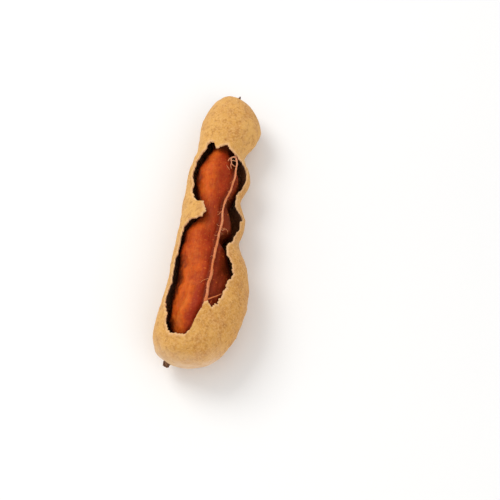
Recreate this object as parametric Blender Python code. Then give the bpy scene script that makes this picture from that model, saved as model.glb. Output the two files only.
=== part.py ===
"""Opened tamarind pod lying on its side, window up.

+Y runs along the pod from its stalk end to its tip, +Z is up, and the origin is under the middle
of the pod on the surface it rests on. Lengths are written in millimetres and scaled by MM.
"""

import math

import bmesh
import bpy
import numpy as np
from mathutils import Vector

MM = 0.001

# ---- driving dimensions of the pod (mm, degrees) -------------------------------------------------

HALF_LENGTH = 57.0
WALL = 0.9  # thickness of the brittle shell
REST_DEPTH = 0.25  # how far the undersides of the seed bulges are worn flat
STALK_BLUNTNESS = 10.0  # exponent of the rounded end cap: higher is blunter
TIP_BLUNTNESS = 7.0
CLEARANCE = 0.35  # gap between neighbouring pieces
PLACE = (-1.15, -0.05, 0.0)  # brings the middle of the whole pod over the origin

# Cross-sections along the pod, one at each seed bulge and each waist between them:
# (place along Y, half width to -X, half width to +X, half height, height of the centre).
SECTIONS = (
    (-57.0, 17.2, 11.6, 12.4, 13.1),
    (-42.0, 15.1, 15.6, 13.0, 13.1),
    (-30.0, 13.5, 17.1, 13.2, 13.1),
    (-18.0, 13.4, 15.5, 12.6, 12.8),
    (-5.5, 13.4, 10.0, 11.2, 12.3),
    (2.0, 13.4, 11.4, 11.7, 11.8),
    (11.5, 13.5, 7.8, 10.5, 11.6),
    (20.5, 13.6, 10.0, 11.2, 11.2),
    (31.0, 12.4, 6.7, 9.4, 10.9),
    (43.0, 13.3, 11.9, 10.5, 10.4),
    (57.0, 13.6, 8.4, 9.8, 10.0),
)

# The broken edge of the window, clockwise from the tip side: (place along Y, angle from the top).
# Positive angles lean to +X.
WINDOW = (
    (30.6, -18.0), (29.6, -30.0), (26.0, -46.0), (22.8, -52.0), (17.0, -53.0), (12.5, -47.0),
    (8.0, -40.0), (5.0, -31.0), (4.6, -18.0), (1.2, -13.5), (-2.0, -15.5), (-2.8, -31.0),
    (-5.0, -48.0), (-11.5, -54.5), (-18.5, -62.0), (-28.5, -60.0), (-35.0, -61.0), (-38.0, -55.0),
    (-41.0, -47.0), (-45.0, -42.0), (-48.0, -33.0), (-49.0, -22.0), (-48.8, -8.0), (-46.0, -1.0),
    (-42.0, 1.5), (-39.0, 5.0), (-36.4, 8.0), (-37.6, 17.0), (-34.0, 26.5), (-30.0, 30.0),
    (-24.0, 37.0), (-20.0, 36.5), (-14.6, 28.8), (-11.5, 40.0), (-7.0, 60.0), (-2.6, 72.0),
    (1.9, 67.0), (5.7, 48.0), (7.6, 51.0), (12.0, 65.0), (15.0, 71.0), (19.6, 65.0),
    (24.0, 56.0), (28.3, 43.0), (28.9, 27.0), (30.8, 17.0), (30.2, 4.0), (29.0, -4.0),
)  # fmt: skip

# Where the fans of the shell's mesh start: (place along Y of the belly, place along Y inside the
# window, angle inside the window).
FAN_CENTRES = (
    (-57.0, -31.0, 2.0),
    (-40.0, -30.0, 3.0),
    (-20.0, -17.0, 0.0),
    (-6.0, -5.5, 0.0),
    (-2.0, -2.5, 5.0),
    (1.5, 1.0, 10.0),
    (4.6, 2.5, 10.0),
    (5.6, 7.5, 5.0),
    (10.0, 11.0, 5.0),
    (22.0, 20.0, 5.0),
    (57.0, 24.0, 3.0),
)

BACK_STEPS = 2001  # places at which the distance along the back is known
BELLY_RAYS = 50  # rays on each side that end on the belly between the poles
CAP_RAYS = 12  # rays on each side that end at each pole
CROWDED_AT = 1.5  # the rays stand closer here, where a tongue of shell reaches into the window
CROWDED_OVER = 6.0
CROWDING = 1.6
SHELL_RINGS = 11
RING_EASE = 1.2  # above 1 draws the shell's rings together towards the belly

# Shrunken fruit flesh: (place along Y, half width to -X, half width to +X).
FLESH_EDGES = (
    (-50.0, 8.6, 8.4),
    (-43.0, 8.9, 10.8),
    (-35.0, 9.5, 11.8),
    (-25.0, 8.9, 11.6),
    (-18.0, 10.1, 8.6),
    (-14.0, 10.2, 7.2),
    (-10.0, 10.1, 3.4),
    (-5.5, 9.9, 2.9),
    (-2.5, 8.9, 5.3),
    (1.5, 6.7, 6.2),
    (4.5, 6.6, 4.8),
    (8.0, 7.6, 3.2),
    (11.7, 8.8, 4.1),
    (17.0, 9.6, 6.0),
    (22.0, 9.6, 5.0),
    (26.5, 8.6, 3.6),
    (31.0, 6.4, 3.0),
    (37.0, 8.2, 5.6),
    (43.0, 9.4, 7.6),
    (50.0, 7.4, 5.4),
)
FLESH_HALF_LENGTH = 51.5
FLESH_BLUNTNESS = 8.0
FLESH_TOP_GAP = 3.0  # depth of the flesh's crest below the outside of the shell
FLESH_SIDE_GAP = 1.9  # least depth of its underside inside the outside of the shell
FLESH_FULL_WIDTH = 15.0  # where it is narrower than this, the flesh is lower as well
FLESH_LEAST_HEIGHT = 0.72  # share of its height that it would keep where it has no width
FLESH_RINGS = 44
FLESH_SIDES = 22

# The vein that runs along the flesh: points in mm.
VEIN_PATH = (
    (-2.5, -50.5, 17.4),
    (-1.4, -48.4, 20.0),
    (0.4, -44.3, 22.3),
    (1.8, -41.0, 23.1),
    (3.0, -35.6, 23.6),
    (2.95, -28.0, 23.7),
    (3.1, -20.0, 22.9),
    (2.8, -14.0, 21.9),
    (2.9, -9.0, 20.9),
    (3.1, -4.3, 20.2),
    (3.1, 0.4, 20.2),
    (2.9, 5.2, 19.7),
    (3.0, 8.8, 18.5),
    (3.8, 12.6, 17.3),
    (4.8, 19.0, 17.3),
    (4.5, 24.0, 16.6),
    (3.2, 29.2, 15.8),
    (2.2, 32.5, 16.0),
    (1.3, 36.5, 17.3),
    (0.5, 41.0, 17.8),
    (-0.3, 45.5, 17.0),
    (-1.2, 50.5, 13.8),
)
VEIN_RADIUS = 0.42
VEIN_SPACING = 2.0
# The vein's side branches: (radius, points in mm).
BRANCHES = (
    (0.26, ((3.1, -34.7, 23.6), (4.3, -34.0, 23.6), (6.0, -32.9, 23.4), (8.6, -30.9, 22.5))),
    (0.18, ((3.8, 27.0, 16.2), (3.1, 27.4, 16.8), (2.4, 27.0, 17.3), (0.9, 24.9, 18.1))),
    (0.16, ((2.9, 6.6, 19.4), (1.4, 6.9, 19.9), (0.2, 5.6, 20.3))),
    (0.16, ((3.1, -1.2, 20.1), (4.6, -0.2, 19.6), (6.0, -1.8, 18.8))),
    (0.16, ((2.8, -14.6, 21.9), (1.0, -14.2, 22.4), (-0.4, -15.4, 22.5))),
)
BRANCH_SPACING = 0.8

# Stalk scar and withered tip: (place of the foot on X and Z, direction, profile of (length, radius)).
STALK_FOOT = (-8.2, 7.0)
STALK_DIRECTION = (-0.41, -0.74, -0.53)
STALK_PROFILE = ((0.0, 1.75), (0.6, 1.5), (1.4, 1.4), (2.0, 1.5), (2.35, 1.25), (2.1, 0.6))
TIP_FOOT = (0.3, 12.4)
TIP_DIRECTION = (0.28, 0.86, 0.42)
TIP_PROFILE = ((0.0, 0.65), (0.3, 0.45), (0.6, 0.34), (0.9, 0.22), (1.0, 0.12))
STUB_SIDES = 14
FOOT_ROUNDS = 12  # rounds of fitting a stub's foot to the pod's blunt end

SHELL_COLOUR = (0.62, 0.33, 0.10)
FLESH_COLOUR = (0.40, 0.045, 0.012)
VEIN_COLOUR = (0.72, 0.29, 0.12)
STALK_COLOUR = (0.16, 0.065, 0.025)
TIP_COLOUR = (0.12, 0.06, 0.03)


# ---- shape functions -----------------------------------------------------------------------------


def smooth_through(keys, values, places):
    """Values at the places, on the cubic through the keys whose slope at each key is the mean
    slope of its neighbours."""
    keys, values, places = (np.asarray(a, float) for a in (keys, values, places))
    slopes = np.gradient(values, keys)
    i = np.clip(np.searchsorted(keys, places) - 1, 0, len(keys) - 2)
    span = keys[i + 1] - keys[i]
    t = np.clip((places - keys[i]) / span, 0.0, 1.0)
    rise = (3 - 2 * t) * t * t
    start_turn = t * (1 - t) ** 2 * span * slopes[i]
    end_turn = t * t * (1 - t) * span * slopes[i + 1]
    return values[i] * (1 - rise) + values[i + 1] * rise + start_turn - end_turn


def end_cap(y, half_length, bluntness):
    """1 along the body, falling to 0 at both ends as the root of 1 minus a power of the place."""
    power = np.abs(y / half_length) ** bluntness
    return np.sqrt(np.clip(1 - power, 0.0, 1.0))


def pod_cap(y):
    return end_cap(y, HALF_LENGTH, np.where(y < 0, STALK_BLUNTNESS, TIP_BLUNTNESS))


def pod_section(y):
    """Centre X, half width, centre Z and half height of the pod's oval section at each Y."""
    keys, left, right, half_height, centre_z = np.array(SECTIONS).T
    left = smooth_through(keys, left, y)
    right = smooth_through(keys, right, y)
    half_height = smooth_through(keys, half_height, y)
    return (right - left) / 2, (right + left) / 2, smooth_through(keys, centre_z, y), half_height


def pod_skin(y, angle):
    """Points on the outside of the pod, at each Y and each angle (degrees) from the top."""
    centre_x, half_width, centre_z, half_height = pod_section(y)
    turn = np.radians(angle)
    x = centre_x + half_width * pod_cap(y) * np.sin(turn)
    z = centre_z + half_height * pod_cap(y) * np.cos(turn)
    return np.stack((x, y, np.maximum(z - REST_DEPTH, 0.0)), axis=-1)


def back_distance():
    """A fine list of Y from end to end, and the distance to each along the pod's back."""
    y = HALF_LENGTH * np.sin(np.linspace(-math.pi / 2, math.pi / 2, BACK_STEPS))
    radius = pod_section(y)[3] * pod_cap(y)
    steps = np.hypot(np.diff(y), np.diff(radius))
    distance = np.concatenate(((0.0,), np.cumsum(steps)))
    return y, distance - np.interp(0.0, y, distance)


# ---- mesh helpers --------------------------------------------------------------------------------


def new_material(name, colour, roughness):
    material = bpy.data.materials.new(name)
    material.use_nodes = True
    shader = material.node_tree.nodes["Principled BSDF"]
    shader.inputs["Base Color"].default_value = (*colour, 1.0)
    shader.inputs["Roughness"].default_value = roughness
    shader.inputs["Metallic"].default_value = 0.0
    return material


def new_object(name, mesh, material):
    mesh.materials.append(material)
    mesh.shade_smooth()
    piece = bpy.data.objects.new(name, mesh)
    piece.location = Vector(PLACE) * MM
    bpy.context.scene.collection.objects.link(piece)
    return piece


def mesh_from_rings(name, rings):
    """A skin through rings of points (mm), each joined to the next; points that meet are merged."""
    ring_count, side_count = rings.shape[:2]
    here = np.arange(ring_count - 1)[:, None] * side_count + np.arange(side_count)
    beside = np.roll(here, -1, axis=1)
    quads = np.stack((here, beside, beside + side_count, here + side_count), axis=-1)
    mesh = bpy.data.meshes.new(name)
    mesh.from_pydata((rings.reshape(-1, 3) * MM).tolist(), [], quads.reshape(-1, 4).tolist())
    shape = bmesh.new()
    shape.from_mesh(mesh)
    bmesh.ops.remove_doubles(shape, verts=shape.verts, dist=1e-6)
    shape.to_mesh(mesh)
    shape.free()
    return mesh


# ---- shell ---------------------------------------------------------------------------------------


def fan_ends():
    """Where each ray of the shell's fan ends, as (distance along the back, angle): first up the +X
    side from the tip's pole along the belly to the stalk's pole, then back up the -X side."""
    y_list, distance_list = back_distance()
    crowding = 1 + CROWDING * np.exp(-(((y_list - CROWDED_AT) / CROWDED_OVER) ** 2))
    count = np.concatenate(((0.0,), np.cumsum(crowding[1:] * np.diff(distance_list))))
    belly = np.interp(np.linspace(count[-1], 0.0, BELLY_RAYS + 2)[1:-1], count, distance_list)
    cap_angles = np.linspace(0.0, 180.0, CAP_RAYS)
    tip_end, stalk_end = np.full(CAP_RAYS, distance_list[-1]), np.full(CAP_RAYS, distance_list[0])
    distance = np.concatenate((tip_end, belly, stalk_end))
    angle = np.concatenate((cap_angles, np.full(BELLY_RAYS, 180.0), cap_angles[::-1]))
    right_side = np.stack((distance, angle), axis=-1)
    left_side = np.stack((distance, -angle), axis=-1)[-2:0:-1]
    return np.concatenate((right_side, left_side))


def fan_starts(ends, window):
    """Where each ray leaves the window: the outermost crossing of the line from the ray's centre
    to its end with the window's edge."""
    y_list, distance_list = back_distance()
    belly, centre_y, centre_angle = np.array(FAN_CENTRES).T
    end_y = np.interp(ends[:, 0], distance_list, y_list)
    centres = np.stack(
        (
            np.interp(np.interp(end_y, belly, centre_y), y_list, distance_list),
            np.interp(end_y, belly, centre_angle),
        ),
        axis=-1,
    )
    edge = np.roll(window, -1, axis=0) - window
    ray = (ends - centres)[:, None, :]
    offset = window[None, :, :] - centres[:, None, :]
    cross = ray[..., 0] * edge[None, :, 1] - ray[..., 1] * edge[None, :, 0]
    along_ray = (offset[..., 0] * edge[None, :, 1] - offset[..., 1] * edge[None, :, 0]) / cross
    along_edge = (offset[..., 0] * ray[..., 1] - offset[..., 1] * ray[..., 0]) / cross
    crossing = (along_edge >= 0) & (along_edge <= 1) & (along_ray > 0) & (along_ray < 1)
    furthest = np.where(crossing, along_ray, 0.0).max(axis=1)
    return centres + (ends - centres) * furthest[:, None]


def build_shell():
    """The brittle shell: one skin fanned out from the window's edge to the belly, then thickened."""
    y_list, distance_list = back_distance()
    window = np.array(WINDOW)
    window[:, 0] = np.interp(window[:, 0], y_list, distance_list)
    ends = fan_ends()
    starts = fan_starts(ends, window)
    share = 1 - np.linspace(1.0, 0.0, SHELL_RINGS + 1)[:, None, None] ** RING_EASE
    places = starts + (ends - starts) * share
    rings = pod_skin(np.interp(places[..., 0], distance_list, y_list), places[..., 1])
    mesh = mesh_from_rings("shell", rings)
    shell = new_object("shell", mesh, new_material("shell", SHELL_COLOUR, 0.9))
    wall = shell.modifiers.new("wall", "SOLIDIFY")
    wall.thickness = WALL * MM
    wall.offset = -1.0
    wall.use_even_offset = True
    return shell


# ---- flesh ---------------------------------------------------------------------------------------


def build_flesh():
    """The shrunken flesh: oval sections that narrow and sink between the seeds."""
    y = FLESH_HALF_LENGTH * np.sin(np.linspace(-math.pi / 2, math.pi / 2, FLESH_RINGS))[:, None]
    turn = np.linspace(0.0, 2 * math.pi, FLESH_SIDES, endpoint=False)[None, :]
    keys, left, right = np.array(FLESH_EDGES).T
    left = smooth_through(keys, left, y)
    right = smooth_through(keys, right, y)
    centre_z, shell_half_height = pod_section(y)[2:]
    breadth = (left + right) / FLESH_FULL_WIDTH
    plumpness = np.minimum(FLESH_LEAST_HEIGHT + (1 - FLESH_LEAST_HEIGHT) * breadth, 1.0)
    upper = (shell_half_height - FLESH_TOP_GAP) * plumpness
    lower = shell_half_height - FLESH_SIDE_GAP
    cap = end_cap(y, FLESH_HALF_LENGTH, FLESH_BLUNTNESS)
    x = (right - left) / 2 + (right + left) / 2 * cap * np.sin(turn)
    rise = np.where(np.cos(turn) > 0, upper, lower) * cap * np.cos(turn)
    rings = np.stack((x, y + 0 * turn, centre_z - REST_DEPTH + rise), axis=-1)
    mesh = mesh_from_rings("pulp", rings)
    return new_object("pulp", mesh, new_material("flesh", FLESH_COLOUR, 0.35))


# ---- vein ----------------------------------------------------------------------------------------


def tube(name, points, radius, spacing):
    """A round fibre with closed ends along the smooth line through the points."""
    points = np.array(points)
    steps = np.linalg.norm(np.diff(points, axis=0), axis=1)
    distance = np.concatenate(((0.0,), np.cumsum(steps)))
    places = np.linspace(0.0, distance[-1], max(3, round(distance[-1] / spacing) + 1))
    route = np.stack([smooth_through(distance, axis, places) for axis in points.T], axis=-1)
    curve = bpy.data.curves.new(name, "CURVE")
    curve.dimensions = "3D"
    curve.bevel_depth = radius * MM
    curve.bevel_resolution = 2
    curve.use_fill_caps = True
    spline = curve.splines.new("POLY")
    spline.points.add(len(route) - 1)
    for point, place in zip(spline.points, route * MM):
        point.co = (*place, 1.0)
    holder = bpy.data.objects.new(name + "_curve", curve)
    bpy.context.scene.collection.objects.link(holder)
    mesh = bpy.data.meshes.new_from_object(holder.evaluated_get(bpy.context.evaluated_depsgraph_get()))
    bpy.data.objects.remove(holder)
    return mesh


def build_vein():
    """The main vein with its branches joined on."""
    material = new_material("vein", VEIN_COLOUR, 0.5)
    vein = new_object("vein_strand", tube("vein", VEIN_PATH, VEIN_RADIUS, VEIN_SPACING), material)
    for number, (radius, points) in enumerate(BRANCHES):
        branch = new_object(f"branch_{number}", tube("branch", points, radius, BRANCH_SPACING), material)
        branch.hide_render = True
        branch.display_type = "WIRE"
        join = vein.modifiers.new(branch.name, "BOOLEAN")
        join.operation = "UNION"
        join.solver = "EXACT"
        join.object = branch
    return vein


# ---- stalk scar and tip --------------------------------------------------------------------------


def end_skin_y(x, z, end):
    """Y of the pod's blunt end (end is -1 for the stalk, 1 for the tip) over the place (x, z)."""
    bluntness = STALK_BLUNTNESS if end < 0 else TIP_BLUNTNESS
    y = np.full_like(x, end * (HALF_LENGTH - 2.0))
    for _ in range(FOOT_ROUNDS):
        centre_x, half_width, centre_z, half_height = pod_section(y)
        reach = ((x - centre_x) / half_width) ** 2 + ((z + REST_DEPTH - centre_z) / half_height) ** 2
        y = end * HALF_LENGTH * np.clip(1 - reach, 0.0, 1.0) ** (1 / bluntness)
    return y


def build_end_piece(name, foot, direction, profile, end, material):
    """A turned nub whose foot follows the pod's blunt end at the clearance, and whose far rings
    stand square to its direction."""
    outward = Vector(direction).normalized()
    across = Vector((0.0, 0.0, 1.0)).cross(outward).normalized()
    upward = outward.cross(across)
    turn = np.linspace(0.0, 2 * math.pi, STUB_SIDES, endpoint=False)[:, None]
    circle = np.cos(turn) * np.array(across) + np.sin(turn) * np.array(upward)
    foot_ring = np.array((foot[0], 0.0, foot[1])) + profile[0][1] * circle
    foot_ring[:, 1] = end_skin_y(foot_ring[:, 0], foot_ring[:, 2], end) + end * CLEARANCE
    middle = foot_ring.mean(axis=0)
    rings = [np.tile(middle, (STUB_SIDES, 1)), foot_ring]
    for length, radius in profile[1:]:
        flat_ring = middle + np.array(outward) * length + radius * circle
        rings.append(flat_ring)
    rings.append(np.tile(rings[-1].mean(axis=0), (STUB_SIDES, 1)))
    mesh = mesh_from_rings(name, np.array(rings))
    return new_object(name, mesh, material)


# ---- build ---------------------------------------------------------------------------------------


def face_outwards(piece):
    """Turns every face of a closed mesh to point out of it."""
    shape = bmesh.new()
    shape.from_mesh(piece.data)
    bmesh.ops.recalc_face_normals(shape, faces=shape.faces)
    shape.to_mesh(piece.data)
    shape.free()


for old in list(bpy.data.objects):
    bpy.data.objects.remove(old)

build_shell()
face_outwards(build_flesh())
build_vein()
stalk_bark = new_material("stalk", STALK_COLOUR, 0.85)
face_outwards(build_end_piece("stalk_stub", STALK_FOOT, STALK_DIRECTION, STALK_PROFILE, -1, stalk_bark))
tip_bark = new_material("tip", TIP_COLOUR, 0.8)
face_outwards(build_end_piece("tip_point", TIP_FOOT, TIP_DIRECTION, TIP_PROFILE, 1, tip_bark))
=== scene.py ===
"""An opened tamarind pod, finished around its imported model.

Lengths in the shape functions are millimetres in the pod's own frame, with +Y from the stalk end to
the tip and +Z up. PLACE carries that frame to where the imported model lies.
"""

import math

import bmesh
import bpy
import numpy as np
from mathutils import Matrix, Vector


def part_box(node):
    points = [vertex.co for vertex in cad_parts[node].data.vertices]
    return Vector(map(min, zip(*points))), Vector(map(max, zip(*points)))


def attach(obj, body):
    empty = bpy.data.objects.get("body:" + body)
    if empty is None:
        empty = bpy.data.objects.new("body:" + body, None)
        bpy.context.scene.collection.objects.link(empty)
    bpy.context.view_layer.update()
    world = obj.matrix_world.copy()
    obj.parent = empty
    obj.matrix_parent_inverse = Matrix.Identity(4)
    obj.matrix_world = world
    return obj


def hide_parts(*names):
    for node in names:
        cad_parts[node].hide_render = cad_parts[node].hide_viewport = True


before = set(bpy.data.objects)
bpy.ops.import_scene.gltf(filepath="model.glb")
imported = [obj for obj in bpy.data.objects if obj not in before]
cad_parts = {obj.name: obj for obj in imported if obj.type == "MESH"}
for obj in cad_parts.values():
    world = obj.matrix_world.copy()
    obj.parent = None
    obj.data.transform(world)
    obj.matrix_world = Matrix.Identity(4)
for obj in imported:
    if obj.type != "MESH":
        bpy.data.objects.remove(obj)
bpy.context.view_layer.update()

# ---- Shell ---------------------------------------------------------------------------------------
# The dry outer wall of the pod, a brittle sandy-brown crust just under a millimetre thick. It swells
# over each seed and draws in between them. A long ragged window has been snapped out of its upper
# side, which leaves a pale crumbled edge all round.

MM = 0.001
shell_low, shell_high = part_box("shell")
HALF_LENGTH = (shell_high.y - shell_low.y) / 2 / MM
SKIN_MIDDLE_X = 1.136  # middle of the pod's breadth, in its own frame
PLACE = np.array(
    (
        (shell_low.x + shell_high.x) / 2 - SKIN_MIDDLE_X * MM,
        (shell_low.y + shell_high.y) / 2,
        shell_low.z,
    )
)
WALL = 0.9
LEAST_WALL = 0.8 * WALL  # under the bulges, where the outside is worn flat
REST_DEPTH = 0.25  # the undersides of the bulges are worn flat by this much
STALK_BLUNTNESS = 10.0
TIP_BLUNTNESS = 7.0

# (place along Y, half width to -X, half width to +X, half height, height of the centre)
SECTIONS = np.array(
    (
        (-57.0, 17.2, 11.6, 12.4, 13.1),
        (-42.0, 15.1, 15.6, 13.0, 13.1),
        (-30.0, 13.5, 17.1, 13.2, 13.1),
        (-18.0, 13.4, 15.5, 12.6, 12.8),
        (-5.5, 13.4, 10.0, 11.2, 12.3),
        (2.0, 13.4, 11.4, 11.7, 11.8),
        (11.5, 13.5, 7.8, 10.5, 11.6),
        (20.5, 13.6, 10.0, 11.2, 11.2),
        (31.0, 12.4, 6.7, 9.4, 10.9),
        (43.0, 13.3, 11.9, 10.5, 10.4),
        (57.0, 13.6, 8.4, 9.8, 10.0),
    )
)
# The window's broken edge, round by the -X side: (place along Y, degrees from the top towards +X).
WINDOW = np.array(
    (
        (30.1, -12), (30.9, -16), (31.4, -22), (31.2, -28), (30.5, -33), (29.3, -36), (28.1, -37.5),
        (27.1, -41.5), (26.1, -46), (24.6, -49.5), (22.6, -52), (19.8, -52), (17.6, -53),
        (14.4, -47), (11.0, -46), (8.6, -42), (5.4, -33), (4.9, -29),
        (4.9, -18), (3.4, -16), (1.3, -13), (-0.4, -13.5), (-2.4, -15), (-2.1, -20), (-2.8, -23),
        (-2.7, -27), (-3.2, -35), (-4.6, -42), (-5.2, -47), (-8.1, -51), (-12.4, -54), (-15.6, -57),
        (-19.0, -60), (-22.5, -60), (-26.9, -57), (-31.0, -57.5), (-35.0, -58), (-38.2, -54),
        (-40.5, -47), (-44.4, -41), (-47.2, -36), (-48.4, -29), (-48.8, -22), (-48.8, -12),
        (-48.9, -6), (-47.8, -2), (-46.0, 0.5), (-44.0, 1), (-41.6, 2), (-39.8, 4), (-38.0, 4.5),
        (-37.0, 6), (-36.1, 7.5), (-36.1, 9.5), (-37.3, 14), (-37.7, 17), (-37.2, 20.5), (-36.2, 24),
        (-34.9, 25), (-33.8, 26.5), (-32.2, 26), (-30.6, 28), (-29.4, 29.5), (-27.8, 29.5),
        (-25.8, 32), (-24.7, 36), (-23.4, 38), (-21.6, 36.5), (-20.2, 36.5), (-18.2, 34),
        (-16.8, 30.5), (-14.8, 29), (-13.0, 32), (-11.4, 38), (-8.9, 51), (-6.9, 59), (-3.8, 68),
        (-2.1, 70.5), (-0.6, 67), (0.8, 64), (2.1, 70), (3.4, 63), (4.6, 53), (6.3, 49), (8.4, 55),
        (10.0, 62), (12.2, 65), (15.0, 70.5), (17.0, 68.5), (20.0, 64.5), (23.2, 62), (25.2, 56.5),
        (27.2, 49), (28.4, 39), (28.7, 32), (29.6, 24), (30.7, 18), (31.0, 10), (30.5, 4),
        (29.6, 0), (29.2, -6),
    )
)  # fmt: skip
# The skin's grid fans out of the window: (place along the belly, place and angle it fans from).
FAN_CENTRES = np.array(
    (
        (-57.0, -31.0, 2.0),
        (-40.0, -30.0, 3.0),
        (-20.0, -17.0, 0.0),
        (-6.0, -5.5, 0.0),
        (-2.0, -2.5, 5.0),
        (1.5, 1.0, 10.0),
        (4.6, 2.5, 10.0),
        (5.6, 7.5, 5.0),
        (10.0, 11.0, 5.0),
        (22.0, 20.0, 5.0),
        (57.0, 24.0, 3.0),
    )
)
EDGE_POINTS = 1500
SIDE_RAYS = 600
TRIAL_RAYS = 1500
CAP_SHARE = 0.12  # how much of one side's rays, before they are respaced, end in each pole
EDGE_STEP = 0.5  # mm of broken edge, both sides together, to each pair of rays
EDGE_JUMP = 2.0  # most edge that two neighbouring trial rays may count
BELLY_STEP = 2.5
SKIN_RINGS, EDGE_RINGS, LINING_RINGS = 46, 4, 14
RING_EASE = 1.15  # above 1 draws the rings together towards the belly
SNAP_SLANT = 0.8  # 1 would make the break plumb all round
STEEPEST_SNAP = 2.4  # slope of the skin past which the break leans back no further
GIRTH = 12.0  # mean radius, which turns angles into lengths

# Layers of random relief: (height, wave length, seed).
SKIN_BUMPS = ((0.17, 15.0, 1), (0.07, 5.0, 2), (0.032, 1.9, 3))
LINING_BUMPS = ((0.08, 7.0, 4), (0.04, 2.2, 5))
EDGE_CRUMBLE = ((0.06, 0.7, 6),)
EDGE_SWELL = 0.10
LARGE_BITES, SMALL_BITES, EDGE_FRAY = (0.26, 3.4, 11), (0.20, 1.6, 12), (0.04, 0.7, 13)
MEAN_BITE = 0.33

STRAW = (0.70, 0.375, 0.100)
TAN = (0.55, 0.245, 0.046)
UMBER = (0.36, 0.135, 0.026)
PEACH_DUST = (0.77, 0.43, 0.155)
CREAM = (0.88, 0.62, 0.26)
# pale dust mixed with painted light bounced up from the floor, low down by the stalk end
DUST_AND_BOUNCE_PALE = (0.80, 0.56, 0.36)
RUSSET = (0.46, 0.185, 0.060)
EDGE_PALE = (0.86, 0.53, 0.28)
LINING_BROWN = (0.26, 0.080, 0.022)
LIT_SIDE_SPAN = (2.0, -9.0)  # painted light: the -X side, which faces the window light, is painted paler between these places along X


def smooth_through(keys, values, places):
    """Values at the places on the cubic through the keys whose slope at each key is the mean slope
    of its neighbours."""
    keys, values = np.asarray(keys, float), np.asarray(values, float)
    slopes = np.gradient(values, keys)
    i = np.clip(np.searchsorted(keys, places) - 1, 0, len(keys) - 2)
    gap = keys[i + 1] - keys[i]
    t = np.clip((places - keys[i]) / gap, 0.0, 1.0)
    rise = (3 - 2 * t) * t * t
    start_turn = t * (1 - t) ** 2 * gap * slopes[i]
    end_turn = t * t * (1 - t) * gap * slopes[i + 1]
    return values[i] * (1 - rise) + values[i + 1] * rise + start_turn - end_turn


def waves(points, length, seed, count=28):
    """A smooth random height between about -2 and 2: sine waves in random directions with lengths
    near the given one (mm), added and divided by the root of half their number."""
    chance = np.random.default_rng(seed)
    heading = chance.normal(size=(count, 3))
    heading /= np.linalg.norm(heading, axis=1, keepdims=True)
    heading *= 2 * math.pi / (length * chance.uniform(0.7, 1.5, (count, 1)))
    start = chance.uniform(0, 2 * math.pi, count)
    return np.sin(points @ heading.T + start).sum(axis=-1) / math.sqrt(count / 2)


def relief(points, layers):
    """The layers of random height at the points, added."""
    return sum(height * waves(points, length, seed) for height, length, seed in layers)


def pod_section(y):
    """Centre X, half width, centre Z and half height of the pod's oval section at each Y."""
    left, right, half_height, centre_z = (
        smooth_through(SECTIONS[:, 0], column, y) for column in SECTIONS[:, 1:].T
    )
    return (right - left) / 2, (right + left) / 2, centre_z, half_height


def end_cap(y, half_length, bluntness):
    """1 along the body, falling to 0 at both ends as the root of 1 minus a power of the place."""
    return np.sqrt(np.clip(1 - np.abs(y / half_length) ** bluntness, 0.0, 1.0))


def pod_bluntness(y):
    return np.where(y < 0, STALK_BLUNTNESS, TIP_BLUNTNESS)


def pod_skin(y, angle):
    """The smooth outside of the pod: on the oval section at Y, narrowed by the end cap, at each
    angle from the top."""
    centre_x, half_width, centre_z, half_height = pod_section(y)
    cap = end_cap(y, HALF_LENGTH, pod_bluntness(y))
    turn = np.radians(angle)
    x = centre_x + half_width * cap * np.sin(turn)
    z = centre_z + half_height * cap * np.cos(turn) - REST_DEPTH
    return np.stack((x, y, z), axis=-1)


def outward(points):
    """Unit vectors out of the pod: the slope of the equation that its oval and end cap satisfy."""
    x, y, z = np.moveaxis(points, -1, 0)
    centre_x, half_width, centre_z, half_height = pod_section(y)
    power = pod_bluntness(y)
    along = power * np.abs(y / HALF_LENGTH) ** (power - 1) * np.sign(y) / HALF_LENGTH
    slope = np.stack(
        (
            2 * (x - centre_x) / half_width**2,
            along,
            2 * (z + REST_DEPTH - centre_z) / half_height**2,
        ),
        axis=-1,
    )
    return slope / np.linalg.norm(slope, axis=-1, keepdims=True)


def back_distance():
    """A fine list of Y from end to end, and the distance to each along the pod's back."""
    y = HALF_LENGTH * np.sin(np.linspace(-math.pi / 2, math.pi / 2, 4001))
    radius = pod_section(y)[3] * end_cap(y, HALF_LENGTH, pod_bluntness(y))
    distance = np.concatenate(((0.0,), np.cumsum(np.hypot(np.diff(y), np.diff(radius)))))
    return y, distance - np.interp(0.0, y, distance)


Y_LIST, DISTANCE_LIST = back_distance()


def fan_ends(places, side):
    """Where rays end, as (distance along the back, angle), at places from 0 to 1 along one side:
    round the tip's pole, along the belly and round the stalk's pole."""
    knots = (CAP_SHARE, 1 - CAP_SHARE)
    distance = np.interp(places, knots, (DISTANCE_LIST[-1], DISTANCE_LIST[0]))
    return np.stack((distance, side * 180 * np.interp(places, (0, *knots, 1), (0, 1, 1, 0))), axis=-1)


def skin_at(places):
    """The smooth skin at places given as (distance along the back, angle)."""
    return pod_skin(np.interp(places[..., 0], DISTANCE_LIST, Y_LIST), places[..., 1])


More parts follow.
